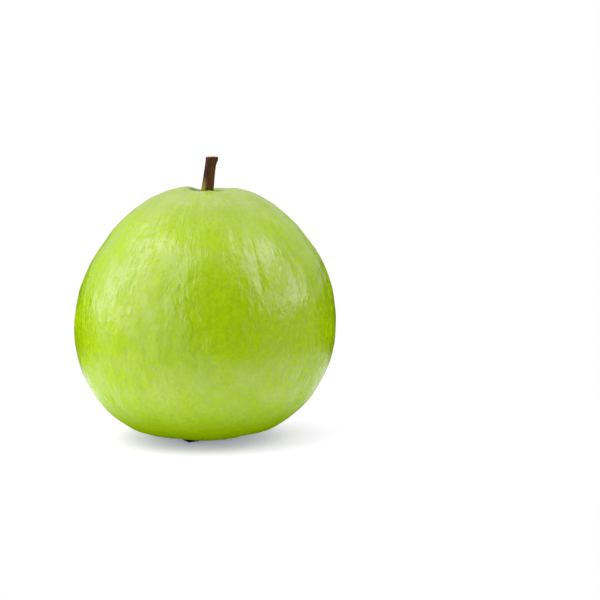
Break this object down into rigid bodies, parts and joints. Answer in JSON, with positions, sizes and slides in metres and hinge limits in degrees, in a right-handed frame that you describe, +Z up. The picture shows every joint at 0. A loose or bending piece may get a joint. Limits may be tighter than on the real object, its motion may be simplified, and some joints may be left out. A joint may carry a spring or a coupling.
{
  "type": "guava",
  "caption": "Whole green guava with a glossy, softly lumpy skin, standing on its dried calyx, with a short cut stem on top.",
  "frame": {"origin": "on the surface that the fruit stands on, under the middle of the fruit", "axes": "+Z up, from the calyx to the stem; +X the side that the fruit and its stem lean to"},
  "size_m": [0.0955, 0.0955, 0.1024],
  "materials": {
    "fruit_skin": "waxy green fruit skin, semi-gloss, with fine lengthwise wrinkles and pale pores",
    "stem_bark": "dry brown bark with lengthwise ridges, pale wood at the cut end",
    "dry_calyx": "dried, nearly black sepals, matt and wrinkled"
  },
  "bodies": {
    "root": {"fruit": "fruit_skin", "stem": "stem_bark", "calyx": "dry_calyx"}
  },
  "joints": []
}
